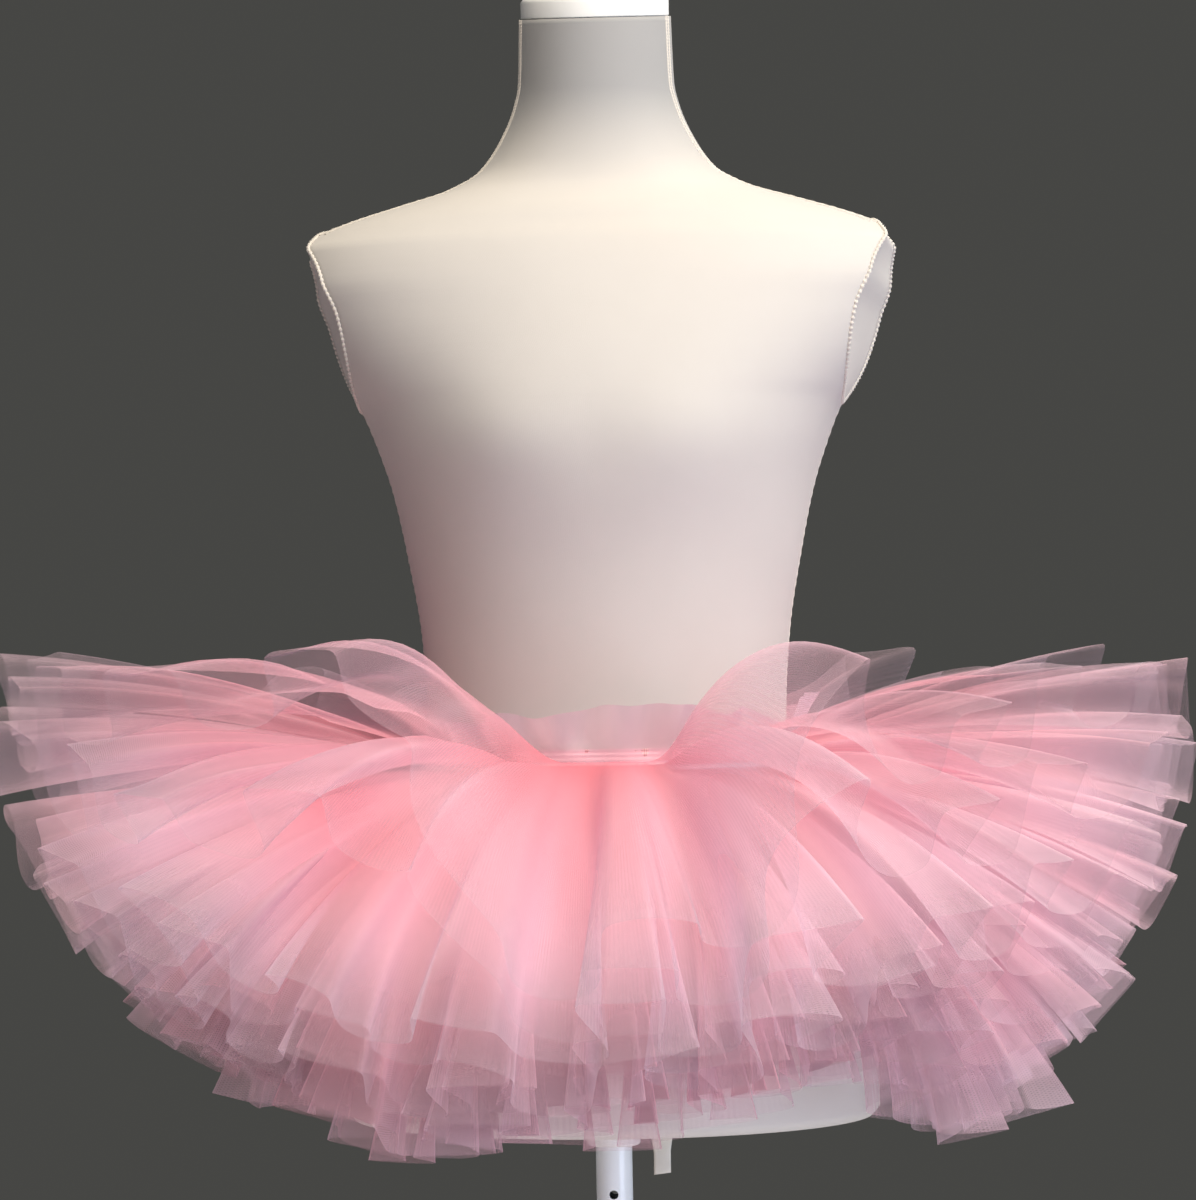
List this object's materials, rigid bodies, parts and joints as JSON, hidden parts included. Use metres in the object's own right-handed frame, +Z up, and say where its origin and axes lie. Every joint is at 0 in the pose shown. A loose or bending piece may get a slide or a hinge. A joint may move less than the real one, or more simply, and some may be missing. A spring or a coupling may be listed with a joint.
{
  "type": "ballet tutu on a limbless dress form with a pole stand",
  "caption": "Short ballet tutu of gathered tulle tiers fanned out from an elastic waistband, worn by a limbless dress form on a pole stand of adjustable height.",
  "frame": {"origin": "centre of the base plate's underside, on the pole's axis", "axes": "+Z up along the pole, -Y the way the form faces, +X to the form's left-hand side"},
  "size_m": [0.741, 0.6762, 1.5031],
  "materials": {
    "white_jersey": "matte",
    "white_plastic": "satin",
    "white_paint": "satin",
    "pink_elastic": "matte",
    "pink_tulle": "matte"
  },
  "bodies": {
    "stand": {"base_plate": "white_paint", "base_boss": "white_paint", "outer_pole": "white_paint", "grip_collar": "white_plastic"},
    "form": {"inner_pole": "white_paint", "form_socket": "white_plastic", "torso": "white_jersey", "neck_cap": "white_plastic", "cover_tab": "white_jersey", "waistband": "pink_elastic", "header_ruffle": "pink_tulle", "tulle_tier_1": "pink_tulle", "tulle_tier_2": "pink_tulle", "tulle_tier_3": "pink_tulle", "tulle_tier_4": "pink_tulle", "tulle_tier_5": "pink_tulle", "tulle_tier_6": "pink_tulle"}
  },
  "joints": [
    {"name": "height_slide", "type": "slide", "parent": "stand", "child": "form", "axis": [0, 0, 1], "range_m": [-0.1, 0.15]}
  ]
}
